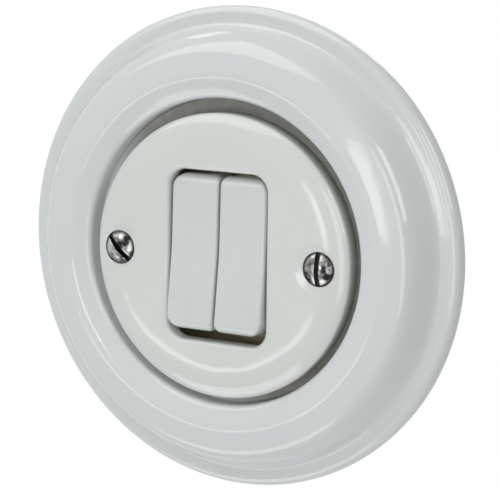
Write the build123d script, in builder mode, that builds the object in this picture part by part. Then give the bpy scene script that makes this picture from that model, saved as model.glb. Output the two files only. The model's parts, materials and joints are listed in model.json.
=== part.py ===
# Flush light switch with two rocker keys, a glazed ring and a glazed cover disc.
# Millimetres. X is right, Z is up, the front faces -Y and the wall plane is Y = 0.
# The origin is the centre of the cover disc, on the wall plane. A rise is a distance in front of
# the wall plane, a depth is a distance behind it.

import os
from math import cos, radians, sin, tan

from build123d import *

os.makedirs("parts", exist_ok=True)

# Outer ring, in radius and rise. It lies loose under the disc's rim and sits a little high.
ring_lift = 0.7
ring_radius = 50.0
ring_rim = 1.2
ring_shoulder = 2.0
ring_shelf = 1.6
ring_foot_curve = 1.2
ring_crest_radius = 36.0
ring_crest_rise = 11.2
ring_crest_slope = 9.0
ring_crest_run = 4.6
ring_crest_curve = 3.2
ring_crest_rounding = 2.5
ring_bore_radius = 31.5
ring_bore_slope = 20.0
ring_lip_rounding = 1.5
ring_foot_width = 5.0
ring_hollow_run = 5.0
ledge_rise = 5.6
ledge_thickness = 2.0
ledge_radius = 27.0

# Cover disc
cover_gap = 2.2
cover_rise = 11.3
cover_edge_width = 7.0
cover_edge_height = 2.2
cover_edge_pull = 0.55
cover_thickness = 3.2
cover_rim_thickness = 2.6
boss_radius = 3.8
boss_gap = 0.3
window_width = 22.9
window_height = 35.2
window_corner = 3.7
window_rounding = 0.9
dimple_radius = 5.2
dimple_depth = 0.6

# Cover screws
screw_offset = 23.2
cover_screw_radius = 1.75
cover_screw_head_radius = 3.5
cover_screw_head_edge = 0.4
cover_screw_dome = 1.2
cover_screw_slot_width = 1.0
cover_screw_slot_depth = 1.1
cover_screw_reach = 3.6
screw_tip = 0.5
cover_screw_clearance = 0.25
countersink_angle = 90.0
seat_clearance = 0.05
screw_slot_angles = {"left": -45.0, "right": 90.0}

# Keys
key_gap = 0.5
key_side_gap = 0.5
key_half_length = 16.0
key_tilt = 4.5
key_bend = 2.8
key_set_back = 0.35
key_crease_radius = 60.0
key_end_rounding = 2.2
key_edge_rounding = 0.7
key_outer_corner = 3.2
key_inner_corner = 1.5
key_wall = 1.5
key_skirt = 3.1
catch_length = 3.0
catch_height = 0.4
catch_offset = 7.0
catch_depth = 0.35

# Cradles, which pivot in the base
pivot_rise = 1.6
trunnion_radius = 1.5
trunnion_clearance = 0.05
cradle_clearance = 0.2
cradle_half_width = 2.6
cradle_block_top = 2.8
cradle_end_clearance = 0.7
cradle_plate_seat = 3.55
cradle_fit = 0.1
plunger_tube_radius = 2.8
plunger_tube_reach = 6.5
spring_bore_radius = 1.6
spring_bore_top = 3.3

# Plungers and their springs
plunger_radius = 1.5
plunger_head = -2.5
plunger_gap = 0.35
plunger_tip_rounding = 1.3
spring_radius = 1.15
spring_wire = 0.22
spring_turns = 5

# Contact levers
fulcrum_height = 4.4
lever_tilt = 7.0
lever_half_length = 11.0
lever_width = 7.0
lever_thickness = 1.0
lever_rib_radius = 0.8
fulcrum_clearance = 0.08
contact_radius = 1.4
contact_height = 0.8
contact_offset = 9.6
contact_gap = 0.05
button_margin = 0.2
contact_rounding = 0.3
contact_tail_radius = 0.7

# Base
base_size = 40.0
base_depth = 17.0
base_corner = 4.0
chamber_half_height = 12.5
chamber_depth = 14.0
middle_wall = 2.0
lug_wall = 2.0
lug_radius = 2.6
buffer_width = 4.0
buffer_thickness = 1.5
buffer_gap = 0.15
stop_width = 1.2
stop_length = 1.4
stop_gap = 0.15
core_width = 5.0
core_height = 22.0
core_floor = 3.0
core_offset = 15.0

# Terminals
rail_thickness = 1.0
rail_width = 5.0
run_width = 4.0
run_inner_end = 7.6
post_width = 6.0
post_thickness = 3.0
post_top_gap = 0.3
terminal_width = 8.0
terminal_top_depth = 6.0
terminal_wall = 1.5
terminal_screw_depth = 9.0
terminal_screw_radius = 1.5
terminal_head_radius = 2.8
terminal_head_height = 1.8
terminal_slot_width = 0.9
terminal_slot_depth = 0.9
clamp_size = 7.0
clamp_thickness = 1.0
wire_gap = 1.4
pocket_clearance = 0.5
rail_clearance = 0.1

# Mounting strap
strap_thickness = 1.0
strap_radius = 35.5
strap_flat = 33.0
strap_window_width = 26.0
strap_window_height = 31.0
strap_window_corner = 2.0
box_screw_offset = 30.0
box_slot_width = 4.2
box_slot_length = 7.2
collar_radius = 3.0
collar_depth = 2.0
strap_screw_offset = 16.5
strap_screw_radius = 1.3
strap_screw_head_radius = 2.5
strap_screw_head_height = 1.4
strap_screw_head_edge = 0.3
strap_screw_reach = 9.0

# Places worked out from the sizes above
sides = {"left": -1, "right": 1}
cover_radius = ring_bore_radius - cover_gap
key_width = (window_width - key_gap - 2 * key_side_gap) / 2
key_offset = (key_gap + key_width) / 2
key_face = cover_rise - key_set_back - pivot_rise
cradle_half_length = key_half_length - key_wall - cradle_end_clearance
fulcrum_depth = chamber_depth - fulcrum_height
chamber_inner = middle_wall / 2
chamber_outer = 2 * key_offset - chamber_inner
chamber_width = chamber_outer - chamber_inner
slope = tan(radians(key_bend))
terminal_plate = chamber_half_height + terminal_wall
terminals = {"line": (1, 1), "load_left": (-1, -1), "load_right": (1, -1)}
floor_top = chamber_depth - rail_thickness
tilted = radians(key_tilt)
cradle_end_rise = pivot_rise + cradle_plate_seat * cos(tilted) - cradle_half_length * sin(tilted)
buffer_rise = cradle_end_rise - buffer_gap
stop_height = lever_half_length - stop_length / 2
stop_depth = fulcrum_depth + lever_half_length * sin(radians(lever_tilt)) + stop_gap
stop_offset = key_offset + lever_width / 2 - stop_width / 2


def front(rise):
    """Plane parallel to the wall, at a rise in front of it, looking out of the wall."""
    return Plane.XZ.offset(rise)


def section_at(x, z=0.0):
    """Section plane of a piece that is turned about an axis square to the wall."""
    return Plane(origin=(x, 0, z), x_dir=(1, 0, 0), z_dir=(0, 0, -1))


def turning_axis(x, z=0.0):
    """Axis square to the wall, pointing into it."""
    return Axis((x, 0, z), (0, 1, 0))


def side_plane(x, y, tilt):
    """Side view of a rocking piece about its pivot: local x runs up it, local y out of the wall."""
    turn = radians(tilt)
    return Plane(origin=(x, y, 0), x_dir=(0, sin(turn), cos(turn)), z_dir=(1, 0, 0))


def face_plane(x, y, tilt):
    """Front view of a rocking piece about its pivot: local x is right, local y runs up it."""
    turn = radians(tilt)
    return Plane(origin=(x, y, 0), x_dir=(1, 0, 0), z_dir=(0, -cos(turn), sin(turn)))


# Outer ring: a hollow-backed shell with a ridge round its bore and a ledge for the cover
with BuildPart() as outer_ring:
    shelf_rise = ring_rim + ring_shoulder
    shelf_radius = ring_radius - ring_shoulder - ring_shelf
    rise_radius = ring_crest_radius + ring_crest_run
    rise_drop = ring_crest_run * tan(radians(ring_crest_slope))
    curve_drop = ring_crest_curve * tan(radians(ring_crest_slope))
    lip_drop = (ring_crest_radius - ring_bore_radius) * tan(radians(ring_bore_slope))
    foot_radius = ring_radius - ring_foot_width
    hollow_rise = ledge_rise - ledge_thickness
    with BuildSketch(section_at(0, ring_lift)):
        with BuildLine():
            rim = Line((ring_radius, 0), (ring_radius, ring_rim))
            shoulder = JernArc(rim @ 1, (0, 1), ring_shoulder, 90)
            shelf = Line(shoulder @ 1, (shelf_radius, shelf_rise))
            rise = Bezier(
                shelf @ 1,
                (shelf_radius - ring_foot_curve, shelf_rise),
                (rise_radius + ring_crest_curve, ring_crest_rise - rise_drop - curve_drop),
                (rise_radius, ring_crest_rise - rise_drop),
            )
            crest = FilletPolyline(
                rise @ 1,
                (ring_crest_radius, ring_crest_rise),
                (ring_bore_radius, ring_crest_rise - lip_drop),
                (ring_bore_radius, ledge_rise),
                radius=(ring_crest_rounding, ring_lip_rounding),
            )
            Polyline(
                crest @ 1,
                (ledge_radius, ledge_rise),
                (ledge_radius, hollow_rise),
                (foot_radius - ring_hollow_run, hollow_rise),
                (foot_radius, 0),
                (ring_radius, 0),
            )
        make_face()
    revolve(axis=turning_axis(0, ring_lift))
outer_ring.part.label = "outer_ring"
export_step(outer_ring.part, "parts/outer_ring.step")

# Cover disc: a shell with a rim on the ledge, a window, and a boss behind each screw hole
with BuildPart() as cover_disc:
    back_rise = cover_rise - cover_thickness
    rim_radius = cover_radius - cover_rim_thickness
    wall_rise = cover_rise - cover_edge_height
    with BuildSketch(section_at(0)):
        with BuildLine():
            wall = Line((cover_radius, ledge_rise), (cover_radius, wall_rise))
            edge = Bezier(
                wall @ 1,
                (cover_radius, wall_rise + cover_edge_height * cover_edge_pull),
                (cover_radius - cover_edge_width * (1 - cover_edge_pull), cover_rise),
                (cover_radius - cover_edge_width, cover_rise),
            )
            Polyline(
                edge @ 1,
                (0, cover_rise),
                (0, back_rise),
                (rim_radius, back_rise),
                (rim_radius, ledge_rise),
                (cover_radius, ledge_rise),
            )
        make_face()
    revolve(axis=turning_axis(0))
    with BuildSketch(front(back_rise)):
        with GridLocations(2 * screw_offset, 0, 2, 1):
            Circle(boss_radius)
        Circle(rim_radius, mode=Mode.INTERSECT)
    extrude(amount=ledge_rise + boss_gap - back_rise)
    with BuildSketch(front(cover_rise)):
        RectangleRounded(window_width, window_height, window_corner)
    extrude(amount=-cover_rise, mode=Mode.SUBTRACT)
    front_face = cover_disc.faces().filter_by(Axis.Y).sort_by(Axis.Y)[0]
    fillet(front_face.inner_wires()[0].edges(), window_rounding)
    dimple_sphere = (dimple_radius**2 + dimple_depth**2) / (2 * dimple_depth)
    head_rise = cover_rise - cover_screw_head_edge
    sink_depth = cover_screw_head_radius / tan(radians(countersink_angle / 2))
    for side in sides.values():
        with Locations((side * screw_offset, -cover_rise + dimple_depth - dimple_sphere, 0)):
            Sphere(dimple_sphere, mode=Mode.SUBTRACT)
        with BuildSketch(section_at(side * screw_offset)):
            hole_radius = cover_screw_radius + cover_screw_clearance
            sink_radius = cover_screw_head_radius + seat_clearance
            with BuildLine():
                Polyline(
                    (0, 0),
                    (hole_radius, 0),
                    (hole_radius, head_rise - sink_depth + hole_radius - seat_clearance),
                    (sink_radius, head_rise),
                    (sink_radius, 2 * cover_rise),
                    (0, 2 * cover_rise),
                    (0, 0),
                )
            make_face()
        revolve(axis=turning_axis(side * screw_offset), mode=Mode.SUBTRACT)
cover_disc.part.label = "cover_disc"
export_step(cover_disc.part, "parts/cover_disc.step")

# Cover screws: slotted, with a raised head that is countersunk below
with BuildPart() as cover_screws:
    for name, side in sides.items():
        x = side * screw_offset
        with BuildSketch(section_at(x)):
            with BuildLine():
                crown = TangentArc(
                    (0, head_rise + cover_screw_dome), (cover_screw_head_radius, head_rise), tangent=(1, 0)
                )
                Polyline(
                    crown @ 1,
                    (cover_screw_radius, head_rise - sink_depth + cover_screw_radius),
                    (cover_screw_radius, screw_tip - cover_screw_reach),
                    (cover_screw_radius - screw_tip, -cover_screw_reach),
                    (0, -cover_screw_reach),
                    (0, head_rise + cover_screw_dome),
                )
            make_face()
        revolve(axis=turning_axis(x))
        slot_plane = front(head_rise + cover_screw_dome - cover_screw_slot_depth)
        with BuildSketch(slot_plane):
            with Locations((x, 0)):
                Rectangle(
                    3 * cover_screw_head_radius, cover_screw_slot_width, rotation=screw_slot_angles[name]
                )
        extrude(amount=cover_screw_slot_depth, mode=Mode.SUBTRACT)
cover_screws.part.label = "cover_screws"
export_step(cover_screws.part, "parts/cover_screws.step")

# Keys: hollow caps with a face dished at the middle, snapped onto the cradles
roof = key_face - key_wall
inner_length = key_half_length - key_wall
end_height = key_face + key_half_length * slope
for name, side in sides.items():
    x = side * key_offset
    with BuildPart() as key:
        with BuildSketch(side_plane(x, -pivot_rise, key_tilt)):
            with BuildLine():
                face = FilletPolyline(
                    (-key_half_length, key_skirt),
                    (-key_half_length, end_height),
                    (0, key_face),
                    (key_half_length, end_height),
                    (key_half_length, key_skirt),
                    radius=(key_end_rounding, key_crease_radius, key_end_rounding),
                )
                Line(face @ 1, face @ 0)
            make_face()
        extrude(amount=key_width / 2, both=True)
        with BuildSketch(face_plane(x, -pivot_rise, key_tilt)):
            with BuildLine():
                FilletPolyline(
                    (side * key_width / 2, key_half_length),
                    (side * key_width / 2, -key_half_length),
                    (-side * key_width / 2, -key_half_length),
                    (-side * key_width / 2, key_half_length),
                    radius=(key_outer_corner, key_outer_corner, key_inner_corner, key_inner_corner),
                    close=True,
                )
            make_face()
        extrude(amount=2 * end_height, mode=Mode.INTERSECT)
        upright = Axis((x, -pivot_rise, 0), (0, -cos(tilted), sin(tilted)))
        rim_edges = key.edges().filter_by_position(upright, key_skirt + key_wall, end_height)
        rim_edges = rim_edges.filter_by(Axis.X, reverse=True).filter_by(upright, reverse=True)
        fillet(rim_edges, key_edge_rounding)
        with BuildSketch(side_plane(x, -pivot_rise, key_tilt)):
            with BuildLine():
                Polyline(
                    (-inner_length, 0),
                    (-inner_length, roof + inner_length * slope),
                    (0, roof),
                    (inner_length, roof + inner_length * slope),
                    (inner_length, 0),
                    (-inner_length, 0),
                )
            make_face()
        extrude(amount=key_width / 2 - key_wall, both=True, mode=Mode.SUBTRACT)
        catch_width = 2 * (key_width / 2 - key_wall)
        catch_plane = face_plane(x, -pivot_rise, key_tilt).offset(key_skirt)
        with BuildSketch(catch_plane):
            with GridLocations(catch_width, 2 * catch_offset, 2, 2):
                Rectangle(2 * catch_depth, catch_length)
        extrude(amount=catch_height)
    key.part.label = "key_" + name
    export_step(key.part, "parts/key_" + name + ".step")

# Cradles: a plate inside the key, a block with trunnions, and a tube for the plunger
for name, side in sides.items():
    x = side * key_offset
    plate_half_width = key_width / 2 - key_wall - cradle_fit
    plate_top = roof - cradle_fit
    block_half_width = chamber_width / 2 - cradle_clearance
    trunnion_half_length = chamber_width / 2 + chamber_inner - cradle_clearance / 2
    with BuildPart() as cradle:
        with BuildSketch(side_plane(x, -pivot_rise, key_tilt)):
            with BuildLine():
                Polyline(
                    (-cradle_half_length, cradle_plate_seat),
                    (-cradle_half_length, plate_top + cradle_half_length * slope),
                    (0, plate_top),
                    (cradle_half_length, plate_top + cradle_half_length * slope),
                    (cradle_half_length, cradle_plate_seat),
                    (-cradle_half_length, cradle_plate_seat),
                )
            make_face()
        extrude(amount=plate_half_width, both=True)
        with BuildSketch(side_plane(x, -pivot_rise, key_tilt)):
            with Locations((0, cradle_plate_seat / 2)):
                Rectangle(2 * cradle_half_width, cradle_plate_seat)
        extrude(amount=plate_half_width, both=True)
        with BuildSketch(side_plane(x, -pivot_rise, key_tilt)):
            with Locations((0, cradle_block_top / 2)):
                Rectangle(2 * cradle_half_width, cradle_block_top)
            Circle(cradle_half_width)
        extrude(amount=block_half_width, both=True)
        with BuildSketch(side_plane(x, -pivot_rise, key_tilt)):
            Circle(trunnion_radius)
        extrude(amount=trunnion_half_length, both=True)
        with BuildSketch(face_plane(x, -pivot_rise, key_tilt)):
            Circle(plunger_tube_radius)
        extrude(amount=-plunger_tube_reach)
        with BuildSketch(face_plane(x, -pivot_rise, key_tilt).offset(spring_bore_top)):
            Circle(spring_bore_radius)
        extrude(amount=-2 * plunger_tube_reach, mode=Mode.SUBTRACT)
    cradle.part.label = "cradle_" + name
    export_step(cradle.part, "parts/cradle_" + name + ".step")

# Plungers: round-ended pins that slide in the cradle tubes
plunger_reach = pivot_rise + fulcrum_depth - lever_thickness - plunger_gap
for name, side in sides.items():
    x = side * key_offset
    with BuildPart() as plunger:
        with BuildSketch(face_plane(x, -pivot_rise, key_tilt).offset(plunger_head)):
            Circle(plunger_radius)
        extrude(amount=-(plunger_reach + plunger_head))
        tip_edge = plunger.faces().sort_by(Axis.Y)[-1].edges()
        fillet(tip_edge, plunger_tip_rounding)
    plunger.part.label = "plunger_" + name
    export_step(plunger.part, "parts/plunger_" + name + ".step")

# Plunger springs: round wire wound between the plunger's head and the top of the bore
spring_length = spring_bore_top - plunger_head - 2 * spring_wire
for name, side in sides.items():
    x = side * key_offset
    coil_plane = face_plane(x, -pivot_rise, key_tilt).offset(plunger_head + spring_wire)
    with BuildPart() as spring:
        with BuildLine():
            pitch = spring_length / spring_turns
            coil = Helix(pitch, spring_length, spring_radius, coil_plane.origin, coil_plane.z_dir)
        with BuildSketch(Plane(origin=coil @ 0, z_dir=coil % 0)):
            Circle(spring_wire)
        sweep(path=coil)
    spring.part.label = "plunger_spring_" + name
    export_step(spring.part, "parts/plunger_spring_" + name + ".step")

# Contact levers: brass plates that rock on a rib, with a contact rivet at the lower end
for name, side in sides.items():
    x = side * key_offset
    with BuildPart() as lever:
        with BuildSketch(side_plane(x, fulcrum_depth, -lever_tilt)):
            with Locations((0, lever_thickness / 2)):
                Rectangle(2 * lever_half_length, lever_thickness)
            Circle(lever_rib_radius)
        extrude(amount=lever_width / 2, both=True)
        rivet_plane = face_plane(x, fulcrum_depth, -lever_tilt)
        with BuildSketch(rivet_plane):
            with Locations((0, -contact_offset)):
                Circle(contact_tail_radius + seat_clearance)
        extrude(amount=lever_thickness, mode=Mode.SUBTRACT)
    lever.part.label = "contact_lever_" + name
    export_step(lever.part, "parts/contact_lever_" + name + ".step")

    with BuildPart() as moving_contact:
        with BuildSketch(rivet_plane):
            with Locations((0, -contact_offset)):
                Circle(contact_radius)
        extrude(amount=-contact_height)
        pad = moving_contact.faces().sort_by(Axis.Y)[-1]
        fillet(pad.edges(), contact_rounding)
        with BuildSketch(rivet_plane):
            with Locations((0, -contact_offset)):
                Circle(contact_tail_radius)
        extrude(amount=lever_thickness)
    moving_contact.part.label = "moving_contact_" + name
    export_step(moving_contact.part, "parts/moving_contact_" + name + ".step")

# Fixed contacts: silver buttons on the load terminals, under the moving contacts
touch = radians(lever_tilt)
touch_depth = fulcrum_depth + contact_offset * sin(touch) + contact_height * cos(touch)
touch_height = contact_offset * cos(touch) - contact_height * sin(touch)
button_depth = touch_depth + contact_radius * sin(touch) + contact_gap
with BuildPart() as fixed_contacts:
    with BuildSketch(front(-floor_top)):
        with Locations(*[(side * key_offset, -touch_height) for side in sides.values()]):
            Circle(contact_radius + button_margin)
    extrude(amount=floor_top - button_depth)
fixed_contacts.part.label = "fixed_contacts"
export_step(fixed_contacts.part, "parts/fixed_contacts.step")

# Base: a moulded body with two chambers, three lugs for the cradles and a pocket per terminal
lug_places = [0.0, -(chamber_outer + lug_wall / 2), chamber_outer + lug_wall / 2]
lug_widths = [middle_wall, lug_wall, lug_wall]
with BuildPart() as switch_base:
    with BuildSketch(front(0)):
        RectangleRounded(base_size, base_size, base_corner)
    extrude(amount=-base_depth)
    with BuildSketch(front(0)):
        with Locations(*[(side * key_offset, 0) for side in sides.values()]):
            Rectangle(chamber_width, 2 * chamber_half_height)
    extrude(amount=-chamber_depth, mode=Mode.SUBTRACT)
    for place, width in zip(lug_places, lug_widths):
        with BuildSketch(side_plane(place, 0, 0)):
            with Locations((0, pivot_rise)):
                Circle(lug_radius)
            with Locations((0, pivot_rise / 2)):
                Rectangle(2 * lug_radius, pivot_rise)
        extrude(amount=width / 2, both=True)
    with BuildSketch(side_plane(0, -pivot_rise, 0)):
        Circle(trunnion_radius + trunnion_clearance)
    extrude(amount=chamber_outer + lug_wall, both=True, mode=Mode.SUBTRACT)
    buffer_place = chamber_half_height + buffer_thickness / 2
    with BuildSketch(front(0)):
        with GridLocations(2 * key_offset, 2 * buffer_place, 2, 2):
            Rectangle(buffer_width, buffer_thickness)
    extrude(amount=buffer_rise)
    with BuildSketch(front(-chamber_depth)):
        with Locations(*[(side * stop_offset, stop_height) for side in sides.values()]):
            Rectangle(stop_width, stop_length)
    extrude(amount=chamber_depth - stop_depth)
    with BuildSketch(front(-base_depth)):
        with GridLocations(2 * core_offset, 0, 2, 1):
            Rectangle(core_width, core_height)
    extrude(amount=base_depth - core_floor, mode=Mode.SUBTRACT)
    for horizontal, vertical in terminals.values():
        x = horizontal * key_offset
        pocket_middle = vertical * (terminal_plate + base_size / 2) / 2
        with BuildSketch(front(-(terminal_top_depth - pocket_clearance))):
            with Locations((x, pocket_middle)):
                Rectangle(terminal_width + 2 * pocket_clearance, base_size / 2 - terminal_plate)
        extrude(amount=-base_depth, mode=Mode.SUBTRACT)
        with BuildSketch(front(-(floor_top - rail_clearance))):
            with Locations((x, vertical * (chamber_half_height + terminal_wall / 2))):
                Rectangle(run_width + 2 * rail_clearance, 2 * terminal_wall)
        extrude(amount=-(rail_thickness + rail_clearance), mode=Mode.SUBTRACT)
    with BuildSketch(front(-(floor_top - rail_clearance))):
        Rectangle(2 * middle_wall, rail_width + 2 * rail_clearance)
    extrude(amount=-(rail_thickness + rail_clearance), mode=Mode.SUBTRACT)
    with BuildSketch(front(0)):
        with GridLocations(2 * strap_screw_offset, 2 * strap_screw_offset, 2, 2):
            Circle(strap_screw_radius + seat_clearance)
    extrude(amount=-(strap_screw_reach + screw_tip), mode=Mode.SUBTRACT)
switch_base.part.label = "switch_base"
export_step(switch_base.part, "parts/switch_base.step")

# Terminals: a run along the chamber floor that turns up into a plate for the clamping screw
screw_places = {
    name: (horizontal * key_offset, vertical) for name, (horizontal, vertical) in terminals.items()
}
for name, (x, vertical) in screw_places.items():
    with BuildPart() as terminal:
        run_start = rail_width / 2 if name == "line" else run_inner_end
        run_length = terminal_plate + rail_thickness - run_start
        with BuildSketch(front(-chamber_depth)):
            with Locations((x, vertical * (run_start + run_length / 2))):
                Rectangle(run_width, run_length)
            if name == "line":
                Rectangle(2 * key_offset + post_width, rail_width)
        extrude(amount=rail_thickness)
        with BuildSketch(front(-chamber_depth)):
            with Locations((x, vertical * (terminal_plate + rail_thickness / 2))):
                Rectangle(terminal_width, rail_thickness)
        extrude(amount=chamber_depth - terminal_top_depth)
        if name == "line":
            with BuildSketch(front(-floor_top)):
                with GridLocations(2 * key_offset, 0, 2, 1):
                    Rectangle(post_width, post_thickness)
            extrude(amount=floor_top - fulcrum_depth - post_top_gap)
            with BuildSketch(side_plane(0, fulcrum_depth, 0)):
                Circle(lever_rib_radius + fulcrum_clearance)
            extrude(amount=key_offset + post_width, both=True, mode=Mode.SUBTRACT)
        hole_plane = Plane(
            origin=(x, terminal_screw_depth, vertical * terminal_plate), z_dir=(0, 0, vertical)
        )
        with BuildSketch(hole_plane):
            Circle(terminal_screw_radius + seat_clearance)
        extrude(amount=rail_thickness, mode=Mode.SUBTRACT)
    node = "line_terminal" if name == "line" else name.replace("load", "load_terminal")
    terminal.part.label = node
    export_step(terminal.part, "parts/" + node + ".step")

# Terminal clamps: square pressure plates under the screw heads
clamp_start = terminal_plate + rail_thickness + wire_gap
with BuildPart() as terminal_clamps:
    for x, vertical in screw_places.values():
        clamp_plane = Plane(
            origin=(x, terminal_screw_depth, vertical * clamp_start), x_dir=(1, 0, 0), z_dir=(0, 0, vertical)
        )
        with BuildSketch(clamp_plane):
            Rectangle(clamp_size, clamp_size)
            Circle(terminal_screw_radius + seat_clearance, mode=Mode.SUBTRACT)
        extrude(amount=clamp_thickness)
terminal_clamps.part.label = "terminal_clamps"
export_step(terminal_clamps.part, "parts/terminal_clamps.step")

# Terminal screws: cheese heads on the clamps
with BuildPart() as terminal_screws:
    for x, vertical in screw_places.values():
        head_start = clamp_start + clamp_thickness
        head_plane = Plane(
            origin=(x, terminal_screw_depth, vertical * head_start), x_dir=(1, 0, 0), z_dir=(0, 0, vertical)
        )
        with BuildSketch(head_plane):
            Circle(terminal_head_radius)
        extrude(amount=terminal_head_height)
        with BuildSketch(head_plane):
            Circle(terminal_screw_radius)
        extrude(amount=-(head_start - terminal_plate))
        with BuildSketch(head_plane.offset(terminal_head_height - terminal_slot_depth)):
            Rectangle(2 * terminal_head_radius, terminal_slot_width)
        extrude(amount=terminal_slot_depth, mode=Mode.SUBTRACT)
terminal_screws.part.label = "terminal_screws"
export_step(terminal_screws.part, "parts/terminal_screws.step")

# Mounting strap: a pressed steel plate with a window, four slots and two threaded collars
with BuildPart() as mounting_strap:
    with BuildSketch(front(0)):
        Circle(strap_radius)
        Rectangle(2 * strap_radius, 2 * strap_flat, mode=Mode.INTERSECT)
        RectangleRounded(strap_window_width, strap_window_height, strap_window_corner, mode=Mode.SUBTRACT)
        with GridLocations(2 * box_screw_offset, 0, 2, 1):
            SlotOverall(box_slot_length, box_slot_width, mode=Mode.SUBTRACT)
        with GridLocations(0, 2 * box_screw_offset, 1, 2):
            SlotOverall(box_slot_length, box_slot_width, rotation=90, mode=Mode.SUBTRACT)
        with GridLocations(2 * strap_screw_offset, 2 * strap_screw_offset, 2, 2):
            Circle(strap_screw_radius + cover_screw_clearance, mode=Mode.SUBTRACT)
    extrude(amount=strap_thickness)
    with BuildSketch(front(0)):
        with GridLocations(2 * screw_offset, 0, 2, 1):
            Circle(collar_radius)
    extrude(amount=-collar_depth)
    with BuildSketch(front(strap_thickness)):
        with GridLocations(2 * screw_offset, 0, 2, 1):
            Circle(cover_screw_radius + seat_clearance)
    extrude(amount=-(strap_thickness + collar_depth), mode=Mode.SUBTRACT)
mounting_strap.part.label = "mounting_strap"
export_step(mounting_strap.part, "parts/mounting_strap.step")

# Strap screws: round heads on the strap, shanks in the base
with BuildPart() as strap_screws:
    for x in (-strap_screw_offset, strap_screw_offset):
        for z in (-strap_screw_offset, strap_screw_offset):
            with BuildSketch(section_at(x, z)):
                with BuildLine():
                    crown_top = strap_thickness + strap_screw_head_height
                    crown = TangentArc(
                        (0, crown_top),
                        (strap_screw_head_radius, strap_thickness + strap_screw_head_edge),
                        tangent=(1, 0),
                    )
                    Polyline(
                        crown @ 1,
                        (strap_screw_head_radius, strap_thickness),
                        (strap_screw_radius, strap_thickness),
                        (strap_screw_radius, screw_tip - strap_screw_reach),
                        (0, -strap_screw_reach),
                        (0, crown_top),
                    )
                make_face()
            revolve(axis=turning_axis(x, z))
strap_screws.part.label = "strap_screws"
export_step(strap_screws.part, "parts/strap_screws.step")
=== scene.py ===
import json
from math import cos, pi, radians, sin, tan

import bpy
from mathutils import Matrix, Vector


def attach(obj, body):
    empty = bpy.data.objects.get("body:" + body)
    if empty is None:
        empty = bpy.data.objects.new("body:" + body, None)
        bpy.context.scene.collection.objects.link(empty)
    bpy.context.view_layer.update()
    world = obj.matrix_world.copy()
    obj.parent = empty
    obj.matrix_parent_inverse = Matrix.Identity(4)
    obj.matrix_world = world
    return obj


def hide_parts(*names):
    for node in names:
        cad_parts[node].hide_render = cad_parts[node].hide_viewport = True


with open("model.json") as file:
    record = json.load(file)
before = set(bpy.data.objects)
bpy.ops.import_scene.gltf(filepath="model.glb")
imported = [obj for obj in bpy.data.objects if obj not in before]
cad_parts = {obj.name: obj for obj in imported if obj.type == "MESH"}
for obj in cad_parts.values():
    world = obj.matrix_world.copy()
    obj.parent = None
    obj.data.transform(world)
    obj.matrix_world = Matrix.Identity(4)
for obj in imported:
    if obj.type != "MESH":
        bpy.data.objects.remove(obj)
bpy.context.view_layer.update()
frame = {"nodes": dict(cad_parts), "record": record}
nodes = frame["nodes"]
mm = 0.001
print("frame loaded,", len(nodes), "nodes")


class Wire:
    # one output of a node, with the arithmetic that the trees need

    def __init__(self, tree, node, output=0):
        self.tree = tree
        self.node = node
        self.output = output

    def __add__(self, other):
        return self.tree.maths("ADD", self, other)

    def __radd__(self, other):
        return self.tree.maths("ADD", other, self)

    def __sub__(self, other):
        return self.tree.maths("SUBTRACT", self, other)

    def __rsub__(self, other):
        return self.tree.maths("SUBTRACT", other, self)

    def __mul__(self, other):
        return self.tree.maths("MULTIPLY", self, other)

    def __rmul__(self, other):
        return self.tree.maths("MULTIPLY", other, self)

    def __truediv__(self, other):
        return self.tree.maths("DIVIDE", self, other)

    def __rtruediv__(self, other):
        return self.tree.maths("DIVIDE", other, self)

    def __pow__(self, other):
        return self.tree.maths("POWER", self, other)

    def __rpow__(self, other):
        return self.tree.maths("POWER", other, self)


class Tree:
    # the node tree of a material, a world or a Geometry Nodes modifier

    def __init__(self, inner):
        self.inner = inner

    def feed(self, node, values):
        # a value is a wire, a list of wires for a socket that joins them, or a plain value
        for place, value in values.items():
            given = value if isinstance(value, list) else [value]
            for item in given:
                if isinstance(item, Wire):
                    self.inner.links.new(item.node.outputs[item.output], node.inputs[place])
                elif item is not None:
                    node.inputs[place].default_value = item

    def node(self, kind, settings, values, output=0):
        node = self.inner.nodes.new(kind)
        for name, value in settings.items():
            setattr(node, name, value)
        self.feed(node, values)
        return Wire(self, node, output)

    def maths(self, operation, first, second=None):
        return self.node("ShaderNodeMath", {"operation": operation}, {0: first, 1: second})


def inMetres(lengths):
    return [length * mm for length in lengths]


def addObject(name, data):
    thing = bpy.data.objects.new(name, data)
    bpy.context.scene.collection.objects.link(thing)
    return thing


def axes(tree, place):
    parts = tree.node("ShaderNodeSeparateXYZ", {}, {0: place})
    return [Wire(tree, parts.node, axis) for axis in "XYZ"]


def ramp(tree, value, low, high, start=0.0, end=1.0):
    return tree.node("ShaderNodeMapRange", {}, {
        "Value": value, "From Min": low, "From Max": high, "To Min": start, "To Max": end,
    })


def noise(tree, place, scale, detail, roughness=0.5):
    return tree.node("ShaderNodeTexNoise", {}, {
        "Vector": place, "Scale": scale, "Detail": detail, "Roughness": roughness,
    })


def blend(tree, share, under, over):
    # the sockets of the Mix node's colours stand after those of its numbers and vectors
    under, over = (colour if isinstance(colour, Wire) else (*colour, 1) for colour in (under, over))
    return tree.node("ShaderNodeMix", {"data_type": "RGBA"}, {0: share, 6: under, 7: over}, 2)


def bump(tree, height, depth):
    return tree.node("ShaderNodeBump", {}, {"Strength": 1.0, "Distance": depth, "Height": height})


def startMaterial(name):
    material = bpy.data.materials.new(name)
    material.use_nodes = True
    tree = Tree(material.node_tree)
    place = tree.node("ShaderNodeTexCoord", {}, {}, "Object")
    return material, tree, material.node_tree.nodes["Principled BSDF"], place


# where most values of a noise lie
softRange = (0.3, 0.7)
firmRange = (0.35, 0.65)


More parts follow.
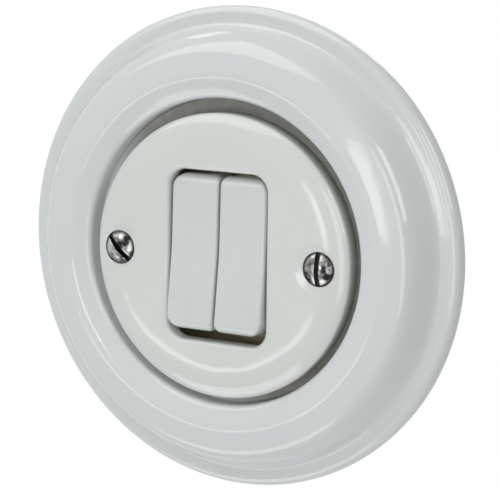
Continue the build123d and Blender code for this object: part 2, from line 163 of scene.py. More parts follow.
def glazeMaterial(name, look):
    material, tree, shader, place = startMaterial(name)
    mottle = noise(tree, place, look["mottleScale"], 3.0)
    colour = blend(tree, ramp(tree, mottle, *firmRange), look["deep"], look["pale"])
    # painted shade: a dark colour in the gap between the disc and the ring, where shade falls,
    # broken up by a noise and lighter at the lower left
    x, y, z = axes(tree, place)
    above = z - look["axisHeight"] * mm
    reach = (x * x + above * above) ** 0.5
    paintedGapShade = (
        ramp(tree, reach, *inMetres(look["gapShadeRadii"]))
        * ramp(tree, 0 - y, *inMetres(look["gapShadeRises"]))
        * ramp(tree, x + z * look["gapShadeFadeLean"], *inMetres(look["gapShadeFadeSide"]))
    )
    gapShadeNoise = noise(tree, place, look["gapShadeNoiseScale"], 3.0)
    gapShadeShare = paintedGapShade * ramp(tree, gapShadeNoise, *look["gapShadeNoiseRange"], *look["gapShadeNoiseShare"])
    colour = blend(tree, gapShadeShare, colour, look["paintedGapShade"])
    sheen = noise(tree, place, look["sheenScale"], 2.0)
    swell = noise(tree, place, look["swellScale"], 1.0)
    ripple = noise(tree, place, look["rippleScale"], 2.0)
    height = swell * look["swellShare"] + ripple * (1 - look["swellShare"])
    tree.feed(shader, {
        "IOR": look["ior"],
        "Base Color": colour,
        "Roughness": ramp(tree, sheen, *softRange, look["smooth"], look["dull"]),
        "Normal": bump(tree, height, look["depth"]),
    })
    return material


ringGlaze = glazeMaterial("ringGlaze", {
    "ior": 1.52,
    "pale": (0.630, 0.658, 0.655),
    "deep": (0.608, 0.638, 0.637),
    "mottleScale": 28.0,
    # painted shade in the gap on the ring's ledge and bore wall: its colour, where it lies, where it
    # fades and its noise
    "paintedGapShade": (0.27, 0.275, 0.245),
    "gapShadeRadii": (32.2, 31.9),
    "gapShadeRises": (6.6, 5.9),
    "axisHeight": 0.7,
    "gapShadeFadeSide": (-19.0, -6.0),
    "gapShadeFadeLean": 0.6,
    "gapShadeNoiseScale": 420.0,
    "gapShadeNoiseRange": (0.2, 0.6),
    "gapShadeNoiseShare": (0.85, 1.0),
    "sheenScale": 260.0,
    "smooth": 0.08,
    "dull": 0.12,
    "swellScale": 55.0,
    "rippleScale": 220.0,
    "swellShare": 0.8,
    "depth": 0.00035,
})
coverGlaze = glazeMaterial("coverGlaze", {
    "ior": 1.52,
    "pale": (0.640, 0.662, 0.636),
    "deep": (0.620, 0.642, 0.618),
    "mottleScale": 30.0,
    # painted shade on the disc's side wall in the gap: its colour, where it lies, where it fades and
    # its noise
    "paintedGapShade": (0.17, 0.175, 0.155),
    "gapShadeRadii": (29.0, 29.22),
    "gapShadeRises": (9.4, 6.4),
    "axisHeight": 0.0,
    "gapShadeFadeSide": (-19.0, -6.0),
    "gapShadeFadeLean": 0.6,
    "gapShadeNoiseScale": 420.0,
    "gapShadeNoiseRange": (0.2, 0.6),
    "gapShadeNoiseShare": (0.85, 1.0),
    "sheenScale": 260.0,
    "smooth": 0.08,
    "dull": 0.13,
    "swellScale": 60.0,
    "rippleScale": 240.0,
    "swellShare": 0.8,
    "depth": 0.00025,
})


def mouldedMaterial(name, look):
    material, tree, shader, place = startMaterial(name)
    grain = noise(tree, place, look["grainScale"], 3.0)
    cloud = noise(tree, place, look["cloudScale"], 2.0)
    tree.feed(shader, {
        "IOR": look["ior"],
        "Base Color": blend(tree, ramp(tree, cloud, *firmRange), look["deep"], look["pale"]),
        "Roughness": ramp(tree, grain, *softRange, look["smooth"], look["dull"]),
        "Normal": bump(tree, grain, look["depth"]),
    })
    return material


keyPlastic = mouldedMaterial("keyPlastic", {
    "ior": 1.47,
    "pale": (0.612, 0.636, 0.632),
    "deep": (0.594, 0.618, 0.616),
    "cloudScale": 60.0,
    "grainScale": 900.0,
    "smooth": 0.17,
    "dull": 0.25,
    "depth": 0.00002,
})
cradlePlastic = mouldedMaterial("cradlePlastic", {
    "ior": 1.47,
    "pale": (0.33, 0.34, 0.33),
    "deep": (0.29, 0.30, 0.29),
    "cloudScale": 60.0,
    "grainScale": 800.0,
    "smooth": 0.40,
    "dull": 0.5,
    "depth": 0.00003,
})
plungerPlastic = mouldedMaterial("plungerPlastic", {
    "ior": 1.47,
    "pale": (0.66, 0.63, 0.54),
    "deep": (0.62, 0.585, 0.49),
    "cloudScale": 60.0,
    "grainScale": 900.0,
    "smooth": 0.30,
    "dull": 0.4,
    "depth": 0.00002,
})
baseMoulding = mouldedMaterial("baseMoulding", {
    "ior": 1.47,
    "pale": (0.060, 0.056, 0.052),
    "deep": (0.038, 0.036, 0.034),
    "cloudScale": 60.0,
    "grainScale": 500.0,
    "smooth": 0.36,
    "dull": 0.5,
    "depth": 0.00005,
})


def metalMaterial(name, look):
    material, tree, shader, place = startMaterial(name)
    stretched = tree.node("ShaderNodeMapping", {"vector_type": "POINT"}, {
        "Vector": place, "Scale": look["stretch"],
    })
    brushed = noise(tree, stretched, look["brushScale"], 4.0, 0.6)
    # tone that differs at random; with the nickel's near-black deep colour these patches are painted
    # reflections
    cloud = noise(tree, place, look["cloudScale"], 3.0)
    colour = blend(tree, ramp(tree, cloud, *look["cloudRange"]), look["deep"], look["pale"])
    if "paintedHeadShade" in look:
        # painted shade: dark at the rim of each head, where it meets the cover, and down in its slot
        paintedHeadShade = look["paintedHeadShade"]
        x, y, z = axes(tree, place)
        aside = tree.maths("ABSOLUTE", x) - paintedHeadShade["offset"] * mm
        reach = (aside * aside + z * z) ** 0.5 + (cloud - 0.5) * (paintedHeadShade["waver"] * mm)
        rim = ramp(tree, reach, *inMetres(paintedHeadShade["radii"]))
        slot = ramp(tree, 0 - y, *inMetres(paintedHeadShade["rises"]))
        colour = blend(tree, tree.maths("MAXIMUM", rim, slot), colour, paintedHeadShade["colour"])
    tree.feed(shader, {
        "Metallic": 1.0,
        "Base Color": colour,
        "Roughness": ramp(tree, brushed, *softRange, look["smooth"], look["dull"]),
        "Normal": bump(tree, brushed, look["depth"]),
    })
    return material


nickelPlate = metalMaterial("nickelPlate", {
    # painted reflections: a cloud noise mixes near-black patches into the pale nickel, standing for
    # dark surroundings mirrored in it
    "pale": (0.46, 0.46, 0.445),
    "deep": (0.025, 0.027, 0.026),
    "cloudScale": 420.0,
    "cloudRange": (0.40, 0.60),
    # painted shade at the rim of each head and down in its slot
    "paintedHeadShade": {
        "colour": (0.03, 0.032, 0.03),
        "offset": 23.2,
        "radii": (2.75, 3.3),
        "waver": 1.2,
        "rises": (11.3, 10.8),
    },
    "stretch": (1, 1, 1),
    "brushScale": 700.0,
    "smooth": 0.12,
    "dull": 0.26,
    "depth": 0.00003,
})
springSteel = metalMaterial("springSteel", {
    "pale": (0.55, 0.55, 0.54),
    "deep": (0.42, 0.42, 0.42),
    "cloudScale": 300.0,
    "cloudRange": (0.3, 0.7),
    "stretch": (1, 1, 1),
    "brushScale": 900.0,
    "smooth": 0.16,
    "dull": 0.3,
    "depth": 0.00001,
})
contactBrass = metalMaterial("contactBrass", {
    "pale": (0.78, 0.58, 0.27),
    "deep": (0.66, 0.46, 0.18),
    "cloudScale": 90.0,
    "cloudRange": (0.3, 0.7),
    "stretch": (6, 1, 1),
    "brushScale": 260.0,
    "smooth": 0.2,
    "dull": 0.36,
    "depth": 0.00002,
})
contactSilver = metalMaterial("contactSilver", {
    "pale": (0.80, 0.79, 0.77),
    "deep": (0.62, 0.61, 0.59),
    "cloudScale": 400.0,
    "cloudRange": (0.3, 0.7),
    "stretch": (1, 1, 1),
    "brushScale": 600.0,
    "smooth": 0.16,
    "dull": 0.3,
    "depth": 0.00001,
})
zincSteel = metalMaterial("zincSteel", {
    "pale": (0.62, 0.63, 0.64),
    "deep": (0.46, 0.48, 0.50),
    "cloudScale": 220.0,
    "cloudRange": (0.3, 0.7),
    "stretch": (1, 1, 1),
    "brushScale": 500.0,
    "smooth": 0.22,
    "dull": 0.4,
    "depth": 0.00002,
})
strapSteel = metalMaterial("strapSteel", {
    "pale": (0.70, 0.64, 0.42),
    "deep": (0.55, 0.50, 0.36),
    "cloudScale": 70.0,
    "cloudRange": (0.3, 0.7),
    "stretch": (1, 1, 5),
    "brushScale": 240.0,
    "smooth": 0.26,
    "dull": 0.42,
    "depth": 0.00003,
})
finishes = {
    "ring_glaze": ringGlaze,
    "cover_glaze": coverGlaze,
    "nickel": nickelPlate,
    "key_plastic": keyPlastic,
    "cradle_plastic": cradlePlastic,
    "plunger_plastic": plungerPlastic,
    "spring_steel": springSteel,
    "contact_brass": contactBrass,
    "contact_silver": contactSilver,
    "base_moulding": baseMoulding,
    "zinc_steel": zincSteel,
    "strap_steel": strapSteel,
}
for subpart in frame["record"]["subparts"]:
    materials = nodes[subpart["node"]].data.materials
    materials.clear()
    materials.append(finishes[subpart["material_slot"]])
print("materials ready")


def startTree(name, inputs):
    inner = bpy.data.node_groups.new(name, "GeometryNodeTree")
    inner.interface.new_socket("Geometry", in_out="OUTPUT", socket_type="NodeSocketGeometry")
    inner.interface.new_socket("Base", in_out="INPUT", socket_type="NodeSocketGeometry")
    for label, value in inputs.items():
        kind = "NodeSocketInt" if isinstance(value, int) else "NodeSocketFloat"
        inner.interface.new_socket(label, in_out="INPUT", socket_type=kind).default_value = value
    inner.interface.new_socket("material", in_out="INPUT", socket_type="NodeSocketMaterial")
    tree = Tree(inner)
    entry = tree.node("NodeGroupInput", {}, {}).node
    labels = [socket.name for socket in entry.outputs if socket.name]
    return tree, {label: Wire(tree, entry, label) for label in labels}


def endTree(tree, sockets, geometry):
    real = tree.node("GeometryNodeRealizeInstances", {}, {0: geometry})
    painted = tree.node("GeometryNodeSetMaterial", {}, {
        "Geometry": real, "Material": sockets["material"],
    })
    tree.node("NodeGroupOutput", {}, {0: painted})


def treeValues(look):
    # a tree's inputs: the look's lengths in metres and its counts as they are
    return {
        label: value if isinstance(value, int) else value * mm
        for label, value in look.items() if isinstance(value, (int, float))
    }


def combine(tree, x, y, z):
    return tree.node("ShaderNodeCombineXYZ", {}, {0: x, 1: y, 2: z})


def position(tree):
    return axes(tree, tree.node("GeometryNodeInputPosition", {}, {}))


def move(tree, geometry, place, chosen=True):
    return tree.node("GeometryNodeSetPosition", {}, {
        "Geometry": geometry, "Selection": chosen, "Position": place,
    })


def merged(tree, geometry):
    return tree.node("GeometryNodeMergeByDistance", {}, {
        "Geometry": geometry, "Distance": 0.001 * mm,
    })


def softened(tree, geometry, crease):
    # smooth all over, but sharp where two faces meet at more than the crease, in degrees
    angle = tree.node("GeometryNodeInputMeshEdgeAngle", {}, {}, "Unsigned Angle")
    smooth = tree.node("GeometryNodeSetShadeSmooth", {"domain": "FACE"}, {
        "Geometry": geometry, "Shade Smooth": True,
    })
    return tree.node("GeometryNodeSetShadeSmooth", {"domain": "EDGE"}, {
        "Geometry": smooth,
        "Selection": tree.maths("GREATER_THAN", angle, radians(crease)),
        "Shade Smooth": False,
    })


def namedAxis(tree):
    # the axis that each point carries, as a rotation of what is set on it
    axis = tree.node("GeometryNodeInputNamedAttribute", {"data_type": "FLOAT_VECTOR"}, {
        "Name": "axis",
    })
    return tree.node("FunctionNodeAlignRotationToVector", {"axis": "Z"}, {"Vector": axis})


def grow(name, tree, base, values, finish):
    # runs the tree on the base and keeps the result as a plain mesh
    seed = addObject(name + "Base", base)
    modifier = seed.modifiers.new("tree", "NODES")
    modifier.node_group = tree.inner
    for item in tree.inner.interface.items_tree:
        if item.in_out == "INPUT" and item.name in values:
            modifier[item.identifier] = values[item.name]
        elif item.in_out == "INPUT" and item.name == "material":
            modifier[item.identifier] = finishes[finish]
    ready = seed.evaluated_get(bpy.context.evaluated_depsgraph_get())
    mesh = bpy.data.meshes.new_from_object(ready)
    mesh.name = name
    seed.modifiers.clear()
    bpy.data.objects.remove(seed)
    piece = addObject(name, mesh)
    return piece


# outer ring: a closed profile, in millimetres, turned about the axis of the ring
ringLook = {
    "radius": 50.0,
    "rim": 1.2,
    "shoulder": 2.0,
    "shelf": 1.6,
    "footCurve": 1.2,
    "crestRadius": 36.0,
    "crestRise": 11.2,
    "crestSlope": 9.0,
    "crestRun": 4.6,
    "crestCurve": 3.2,
    "crestRounding": 5.0,
    "boreRadius": 31.5,
    "boreSlope": 20.0,
    "lipRounding": 1.5,
    "ledgeRise": 5.6,
    "ledgeThickness": 2.0,
    "ledgeRadius": 27.0,
    "footWidth": 5.0,
    "hollowRun": 5.0,
    "hollowRounding": 1.2,
    "edgeRounding": 0.3,
    "roundingSteps": 6,
    "curveSteps": 20,
    "stepsRound": 288,
    "lift": 0.7,
    "glazeRun": 0.03,
    "glazeSize": 9.0,
    "bareFoot": 1.5,
    "crease": 35,
}


def roundedCorner(before, corner, after, radius, steps):
    # points of the arc that rounds a corner
    here = Vector(corner)
    first = (Vector(before) - here).normalized()
    second = (Vector(after) - here).normalized()
    half = first.angle(second) / 2
    middle = here + (first + second).normalized() * radius / sin(half)
    start = here + first * radius / tan(half) - middle
    turn = start.angle_signed(here + second * radius / tan(half) - middle)
    arc = [start @ Matrix.Rotation(turn * step / steps, 2) + middle for step in range(steps + 1)]
    return [tuple(point) for point in arc]


def bezierRun(points, steps):
    first, second, third, last = (Vector(point) for point in points)
    run = []
    for step in range(steps + 1):
        t = step / steps
        run.append(tuple(
            first * (1 - t) ** 3 + second * 3 * t * (1 - t) ** 2
            + third * 3 * t * t * (1 - t) + last * t ** 3
        ))
    return run


def ringProfile(look):
    # radius and rise of the closed section, from the foot over the shelf, crest and lip to the ledge
    shelfRise = look["rim"] + look["shoulder"]
    shelfRadius = look["radius"] - look["shoulder"] - look["shelf"]
    slope, lipSlope = tan(radians(look["crestSlope"])), tan(radians(look["boreSlope"]))
    riseRadius = look["crestRadius"] + look["crestRun"]
    riseEnd = look["crestRise"] - look["crestRun"] * slope
    lipRise = look["crestRise"] - (look["crestRadius"] - look["boreRadius"]) * lipSlope
    hollowRise = look["ledgeRise"] - look["ledgeThickness"]
    footRadius = look["radius"] - look["footWidth"]
    rise = bezierRun([
        (shelfRadius, shelfRise),
        (shelfRadius - look["footCurve"], shelfRise),
        (riseRadius + look["crestCurve"], riseEnd - look["crestCurve"] * slope),
        (riseRadius, riseEnd),
    ], look["curveSteps"])
    loop = [
        ((look["radius"], 0), look["edgeRounding"]),
        ((look["radius"], shelfRise), look["shoulder"]),
        *((point, 0) for point in rise),
        ((look["crestRadius"], look["crestRise"]), look["crestRounding"]),
        ((look["boreRadius"], lipRise), look["lipRounding"]),
        ((look["boreRadius"], look["ledgeRise"]), look["edgeRounding"]),
        ((look["ledgeRadius"], look["ledgeRise"]), look["edgeRounding"]),
        ((look["ledgeRadius"], hollowRise), look["edgeRounding"]),
        ((footRadius - look["hollowRun"], hollowRise), look["hollowRounding"]),
        ((footRadius, 0), look["edgeRounding"]),
    ]
    points = []
    for index, (corner, rounding) in enumerate(loop):
        before, after = loop[index - 1][0], loop[(index + 1) % len(loop)][0]
        steps = look["roundingSteps"]
        points += roundedCorner(before, corner, after, rounding, steps) if rounding else [corner]
    return points


def outline(points):
    # a closed loop of edges, with the radius along x and the rise along y
    mesh = bpy.data.meshes.new("outline")
    corners = [(radius * mm, rise * mm, 0) for radius, rise in points]
    edges = [(place, (place + 1) % len(corners)) for place in range(len(corners))]
    mesh.from_pydata(corners, edges, [])
    return mesh


def turnedTree(crease):
    # sweeps the base, a closed outline, round the ring's axis
    tree, sockets = startTree("turnedPiece", {
        "steps round": 64, "lift": 0.0, "glaze run": 0.0, "glaze size": 0.01, "foot": 0.001,
    })
    section = tree.node("GeometryNodeMeshToCurve", {}, {0: sockets["Base"]})
    circle = tree.node("GeometryNodeCurvePrimitiveCircle", {}, {
        "Resolution": sockets["steps round"], "Radius": 1.0,
    })
    shell = tree.node("GeometryNodeCurveToMesh", {}, {0: circle, 1: section})
    # the circle's radius of one is taken off again, so that the section's own radii are left
    x, y, z = position(tree)
    reach = (x * x + y * y) ** 0.5
    share = (reach - 1.0) / reach
    turned = move(tree, shell, combine(tree, x * share, z, sockets["lift"] - y * share))
    # the glaze lies a little unevenly, always inside the turned shape and never on the foot
    x, y, z = position(tree)
    normal = tree.node("GeometryNodeInputNormal", {}, {})
    uneven = tree.node("ShaderNodeTexNoise", {}, {
        "Vector": combine(tree, x, y, z), "Scale": 1 / sockets["glaze size"], "Detail": 1.0,
    })
    shown = ramp(tree, 0 - y, sockets["foot"], sockets["foot"] * 3)
    inward = tree.node("ShaderNodeVectorMath", {"operation": "SCALE"}, {
        0: normal, "Scale": 0 - uneven * sockets["glaze run"] * shown,
    })
    glazed = tree.node("GeometryNodeSetPosition", {}, {"Geometry": turned, "Offset": inward})
    endTree(tree, sockets, softened(tree, glazed, crease))
    return tree


ring = grow("outerRing", turnedTree(ringLook["crease"]), outline(ringProfile(ringLook)), {
    "steps round": ringLook["stepsRound"],
    "lift": ringLook["lift"] * mm,
    "glaze run": ringLook["glazeRun"] * mm,
    "glaze size": ringLook["glazeSize"] * mm,
    "foot": ringLook["bareFoot"] * mm,
}, "ring_glaze")
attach(ring, "housing")
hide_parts("outer_ring")
print("ring turned,", len(ring.data.vertices), "points")

# slotted screws, in millimetres
# a place is a point, the way that the head faces, and its turn in degrees
coverScrewLook = {
    "head radius": 3.5,
    "dome": 1.2,
    "edge": 0.0,
    "neck": 1.75,
    "shank radius": 1.75,
    "length": 14.5,
    "tip": 0.5,
    "slot width": 1.0,
    "slot depth": 1.4,
    "rounding": 0.12,
    "pitch": 0.6,
    "places": [
        ((-23.2, -10.9, 0), (0, -1, 0), 45),
        ((23.2, -10.9, 0), (0, -1, 0), 0),
    ],
}
strapScrewLook = {
    "head radius": 2.5,
    "dome": 1.1,
    "edge": 0.3,
    "neck": 0.0,
    "shank radius": 1.3,
    "length": 10.3,
    "tip": 0.5,
    "slot width": 0.7,
    "slot depth": 0.75,
    "rounding": 0.1,
    "pitch": 0.5,
    "places": [
        ((-16.5, -1.3, -16.5), (0, -1, 0), 20),
        ((-16.5, -1.3, 16.5), (0, -1, 0), 75),
        ((16.5, -1.3, -16.5), (0, -1, 0), -35),
        ((16.5, -1.3, 16.5), (0, -1, 0), 110),
    ],
}
terminalScrewLook = {
    "head radius": 2.8,
    "dome": 0.15,
    "edge": 1.65,
    "neck": 0.0,
    "shank radius": 1.5,
    "length": 5.05,
    "tip": 0.3,
    "slot width": 0.9,
    "slot depth": 0.9,
    "rounding": 0.12,
    "pitch": 0.5,
    "places": [
        ((5.6, 9, 19.05), (0, 0, 1), 90),
        ((-5.6, 9, -19.05), (0, 0, -1), 90),
        ((5.6, 9, -19.05), (0, 0, -1), 90),
    ],
}
screwCrease = 32


def screwCrown(tree, sockets):
    # the domed top, with its slot: columns of a grid crowd into the slot and round its edges
    radius, dome, soft = sockets["head radius"], sockets["dome"], sockets["rounding"]
    slotHalf, slotDepth = sockets["slot width"] * 0.5, sockets["slot depth"]
    floorEnd, wallEnd, bendEnd = 0.1, 0.2, 0.3  # shares of the columns, out from the middle
    grid = tree.node("GeometryNodeMeshGrid", {}, {
        0: 2.0, 1: 2.0, 2: sockets["steps across"] + 1, 3: sockets["steps along"] + 1,
    })
    x, y, z = position(tree)
    away = tree.maths("ABSOLUTE", x)
    bend = ramp(tree, away, wallEnd, bendEnd, 0.0, pi / 2)
    outward = ramp(tree, away, bendEnd, 1.0, 0.0, pi / 2)
    across = (
        ramp(tree, away, 0.0, floorEnd) * slotHalf
        + soft * (1 - tree.maths("COSINE", bend))
        + (radius - slotHalf - soft) * tree.maths("SINE", outward)
    )
    wall = ramp(tree, away, floorEnd, wallEnd)
    sunk = slotDepth - (slotDepth - soft) * wall - soft * tree.maths("SINE", bend)
    chord = tree.maths("MAXIMUM", radius * radius - across * across, 0.0)
    along = y * chord ** 0.5
    ball = (radius * radius + dome * dome) / (dome * 2)
    crown = (ball * ball - across * across - along * along) ** 0.5 - (ball - dome)
    cut = tree.maths("MAXIMUM", dome - slotDepth, crown - sunk)
    height = tree.maths("MINIMUM", crown, cut)
    place = combine(tree, across * tree.maths("SIGN", x), along, height)
    return merged(tree, move(tree, grid, place))


def screwShank(tree, sockets, head, core):
    # below the crown: the open edge is drawn out ring by ring, down to a point
    hair = 0.01 * mm
    shank, pitch, tip = sockets["shank radius"], sockets["pitch"], sockets["tip"]
    faces = tree.node("GeometryNodeInputMeshEdgeNeighbors", {}, {})
    rim = tree.maths("LESS_THAN", faces, 1.5)
    shankStart = 0 - sockets["edge"] - sockets["neck"]
    end = 0 - sockets["length"]
    for ringRadius, level in (
        (sockets["head radius"], 0 - sockets["edge"] - hair),
        (shank, shankStart - hair * 2),
        (shank, shankStart - pitch),
        (core, shankStart - pitch * 1.5),
        (core, tip - sockets["length"]),
        (core - tip * 0.6, end),
        (0.0, end),
    ):
        drawn = tree.node("GeometryNodeExtrudeMesh", {"mode": "EDGES"}, {
            "Mesh": head, "Selection": rim, "Offset Scale": 0.0,
        }, "Mesh")
        rim = Wire(tree, drawn.node, "Top")
        x, y, z = position(tree)
        reach = (x * x + y * y) ** 0.5
        place = combine(tree, x / reach * ringRadius, y / reach * ringRadius, level)
        head = move(tree, drawn, place, rim)
    return softened(tree, merged(tree, head), screwCrease)


def screwThread(tree, sockets, core):
    # a four-sided ridge wound on the core
    pitch, tip, length = sockets["pitch"], sockets["tip"], sockets["length"]
    run = length - tip - sockets["edge"] - sockets["neck"] - pitch * 2.5
    helix = tree.node("GeometryNodeCurveSpiral", {}, {
        "Resolution": sockets["steps per turn"], "Rotations": run / pitch,
        "Start Radius": core, "End Radius": core, "Height": run, "Reverse": True,
    })
    upright = tree.node("GeometryNodeSetCurveNormal", {"mode": "Z_UP"}, {"Curve": helix})
    ridge = tree.node("GeometryNodeCurvePrimitiveCircle", {}, {
        "Resolution": 4, "Radius": pitch * 0.5,
    })
    thread = tree.node("GeometryNodeCurveToMesh", {}, {0: upright, 1: ridge, "Fill Caps": True})
    x, y, z = position(tree)
    thread = move(tree, thread, combine(tree, x, y, z + (tip - length) + pitch * 0.5))
    return softened(tree, thread, screwCrease)


def screwTree():
    # one tree for all the screws, which sets a screw on each point of the base
    tree, sockets = startTree("slottedScrew", {
        **treeValues(coverScrewLook), "steps across": 60, "steps along": 24, "steps per turn": 24,
    })
    core = sockets["shank radius"] - sockets["pitch"] * 0.5
    head = screwShank(tree, sockets, screwCrown(tree, sockets), core)
    thread = screwThread(tree, sockets, core)
    axis = namedAxis(tree)
    turn = tree.node("GeometryNodeInputNamedAttribute", {"data_type": "FLOAT"}, {"Name": "turn"})
    spun = tree.node("FunctionNodeAxisAngleToRotation", {}, {"Axis": (0, 0, 1), "Angle": turn})
    facing = tree.node("FunctionNodeRotateRotation", {"rotation_space": "LOCAL"}, {0: axis, 1: spun})
    screws = tree.node("GeometryNodeInstanceOnPoints", {}, {
        "Points": sockets["Base"],
        "Instance": tree.node("GeometryNodeJoinGeometry", {}, {0: [head, thread]}),
        "Rotation": facing,
    })
    endTree(tree, sockets, screws)
    return tree


def aimedPoints(places):
    # one point for each place, which carries an axis and a turn about it
    mesh = bpy.data.meshes.new("aimedPoints")
    mesh.from_pydata([Vector(place) * mm for place, axis, turn in places], [], [])
    mesh.attributes.new("axis", "FLOAT_VECTOR", "POINT")
    mesh.attributes.new("turn", "FLOAT", "POINT")
    for index, (place, axis, turn) in enumerate(places):
        mesh.attributes["axis"].data[index].vector = axis
        mesh.attributes["turn"].data[index].value = radians(turn)
    return mesh


slottedScrew = screwTree()
for name, node, look, finish in (
    ("coverScrews", "cover_screws", coverScrewLook, "nickel"),
    ("strapScrews", "strap_screws", strapScrewLook, "zinc_steel"),
    ("terminalScrews", "terminal_screws", terminalScrewLook, "zinc_steel"),
):
    screws = grow(name, slottedScrew, aimedPoints(look["places"]), treeValues(look), finish)
    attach(screws, "housing")
    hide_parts(node)
    print(name, len(screws.data.vertices), "points")

# plunger springs, in millimetres: round wire, with its end turns closed
springLook = {
    "coil radius": 1.15,
    "wire radius": 0.22,
    "turns": 6,
    "length": 5.36,
    "start": -2.28,
    "steps per turn": 28,
    "wire sides": 10,
    "seat": {"offset": 5.6, "depth": -1.6, "tilt": 4.5},
}
springCrease = 50


def springTree():
    tree, sockets = startTree("coilSpring", treeValues(springLook))
    closed = sockets["wire radius"] * 2.02  # rise of an end turn, which lies just clear of the next
    coil = tree.node("GeometryNodeCurveSpiral", {}, {
        "Resolution": sockets["steps per turn"], "Rotations": sockets["turns"],
        "Start Radius": sockets["coil radius"], "End Radius": sockets["coil radius"],
        "Height": 1.0, "Reverse": True,
    })
    x, y, share = position(tree)
    one = 1 / sockets["turns"]
    rise = (
        ramp(tree, share, 0.0, one, 0.0, closed)
        + ramp(tree, share, one, 1 - one, 0.0, sockets["length"] - closed * 2)
        + ramp(tree, share, 1 - one, 1.0, 0.0, closed)
    )
    coil = move(tree, coil, combine(tree, x, y, rise + sockets["start"]))
    wire = tree.node("GeometryNodeCurvePrimitiveCircle", {}, {
        "Resolution": sockets["wire sides"], "Radius": sockets["wire radius"],
    })
    wound = tree.node("GeometryNodeCurveToMesh", {}, {0: coil, 1: wire, "Fill Caps": True})
    springs = tree.node("GeometryNodeInstanceOnPoints", {}, {
        "Points": sockets["Base"],
        "Instance": softened(tree, wound, springCrease),
        "Rotation": namedAxis(tree),
    })
    endTree(tree, sockets, springs)
    return tree


coilSpring = springTree()
seat = springLook["seat"]
lean = radians(seat["tilt"])
for name, side in (("left", -1), ("right", 1)):
    place = ((side * seat["offset"], seat["depth"], 0), (0, -cos(lean), sin(lean)), 0)
    values = treeValues(springLook)
    spring = grow("plungerSpring_" + name, coilSpring, aimedPoints([place]), values, "spring_steel")
    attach(spring, "rocker_" + name)
    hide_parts("plunger_spring_" + name)
print("springs wound")

# the photo's viewpoint: angles in degrees and lengths in metres, but the sensor's width in mm
cameraLook = {
    "azimuth": 29.21,
    "elevation": 10.04,
    "roll": 0.79,
    "distance": 0.450,
    "target": (0.00437, -0.005, 0.0012),
    "focalPixels": 2210.0,  # the lens's focal length, in pixels of the frame
    "framePixels": 500,
    "sensor": 36,
    "clip": (0.01, 50),
}


def addCamera(look):
    azimuth, elevation, roll = (radians(look[name]) for name in ("azimuth", "elevation", "roll"))
    back = Vector((sin(azimuth) * cos(elevation), -cos(azimuth) * cos(elevation), sin(elevation)))
    right = Vector((cos(azimuth), sin(azimuth), 0))
    up = back.cross(right)
    across = right * cos(roll) + up * sin(roll)
    upward = up * cos(roll) - right * sin(roll)
    data = bpy.data.cameras.new("camera")
    data.sensor_width = look["sensor"]
    data.lens = look["focalPixels"] / look["framePixels"] * look["sensor"]
    data.clip_start, data.clip_end = look["clip"]
    camera = addObject("camera", data)
    turn = Matrix((across, upward, back)).transposed().to_4x4()
    camera.matrix_world = Matrix.Translation(Vector(look["target"]) + back * look["distance"]) @ turn
    bpy.context.scene.camera = camera


addCamera(cameraLook)

# lamps in metres and watts, each turned to the part
lightLook = {
    "topBox": {"place": (-0.40, -0.42, 0.84), "size": (1.00, 1.10), "power": 7.3},
    "rightBox": {"place": (0.95, -0.45, 0.50), "size": (0.30, 0.60), "power": 2.6},
    "frontBox": {"place": (-0.158, -1.09, -0.012), "size": (0.15, 0.25), "power": 0.5},
    "keyBox": {"place": (0.56, -1.06, 0.02), "size": (0.50, 1.00), "power": 3.45},
    "lowBox": {"place": (-0.30, -0.50, -0.80), "size": (0.80, 0.50), "power": 2.8},
    "stripBox": {"place": (-0.48, -0.85, -0.30), "size": (0.44, 0.07), "power": 0.36},
    "backBox": {"place": (-0.50, 1.10, 0.70), "size": (1.20, 1.00), "power": 6.0},
}


def addLamp(name, look):
    data = bpy.data.lights.new(name, "AREA")
    data.shape = "RECTANGLE"
    data.size, data.size_y = look["size"]
    data.energy = look["power"]
    lamp = addObject(name, data)
    lamp.location = look["place"]
    lamp.rotation_euler = Vector(look["place"]).to_track_quat("Z", "Y").to_euler()


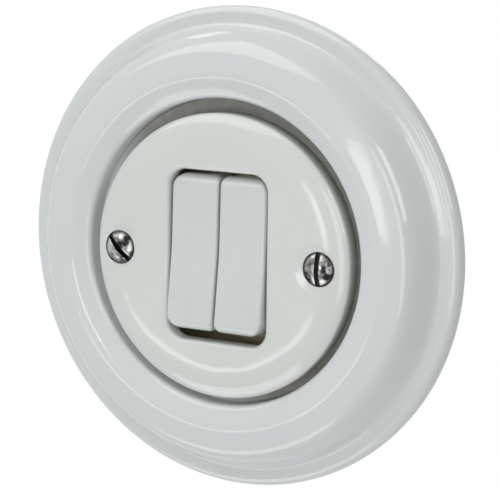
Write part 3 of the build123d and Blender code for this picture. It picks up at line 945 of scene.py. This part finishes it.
stageLook = {
    "ambient": 0.255,
    "ambientColour": (0.98, 0.99, 1.0, 1),
    "backgroundColour": (1, 1, 1, 1),
    "floorColour": (0.8, 0.8, 0.8, 1),
    "floorRoughness": 0.9,
    "floorHeight": -1.05,
    "floorSize": 12.0,
}


def backgroundRays(tree):
    # one for the rays that see plain white behind the part, instead of what lights it
    path = tree.node("ShaderNodeLightPath", {}, {}).node
    camera, glossy = Wire(tree, path, "Is Camera Ray"), Wire(tree, path, "Is Glossy Ray")
    through = Wire(tree, path, "Is Transmission Ray")
    return tree.node("ShaderNodeClamp", {}, {"Value": camera + glossy + through})


def addWorld(look):
    world = bpy.data.worlds.new("studio")
    bpy.context.scene.world = world
    world.use_nodes = True
    world.node_tree.nodes.clear()
    tree = Tree(world.node_tree)
    dim = tree.node("ShaderNodeBackground", {}, {
        "Color": look["ambientColour"], "Strength": look["ambient"],
    })
    white = tree.node("ShaderNodeBackground", {}, {
        "Color": look["backgroundColour"], "Strength": 1.0,
    })
    mixed = tree.node("ShaderNodeMixShader", {}, {0: backgroundRays(tree), 1: dim, 2: white})
    tree.node("ShaderNodeOutputWorld", {}, {0: mixed})


def addFloor(look):
    paper = bpy.data.materials.new("floorPaper")
    paper.use_nodes = True
    tree = Tree(paper.node_tree)
    shader = paper.node_tree.nodes["Principled BSDF"]
    tree.feed(shader, {"Base Color": look["floorColour"], "Roughness": look["floorRoughness"]})
    plain = Wire(tree, shader)
    glow = tree.node("ShaderNodeEmission", {}, {"Color": look["backgroundColour"], "Strength": 1.0})
    mixed = tree.node("ShaderNodeMixShader", {}, {0: backgroundRays(tree), 1: plain, 2: glow})
    tree.feed(paper.node_tree.nodes["Material Output"], {0: mixed})
    half, height = look["floorSize"] / 2, look["floorHeight"]
    corners = ((-half, -half), (half, -half), (half, half), (-half, half))
    mesh = bpy.data.meshes.new("floor")
    mesh.from_pydata([(*corner, height) for corner in corners], [], [(0, 1, 2, 3)])
    mesh.materials.append(paper)
    addObject("floor", mesh)


addWorld(stageLook)
addFloor(stageLook)
for name, look in lightLook.items():
    addLamp(name, look)
bpy.context.scene.view_settings.view_transform = "Standard"
print("camera and light ready")
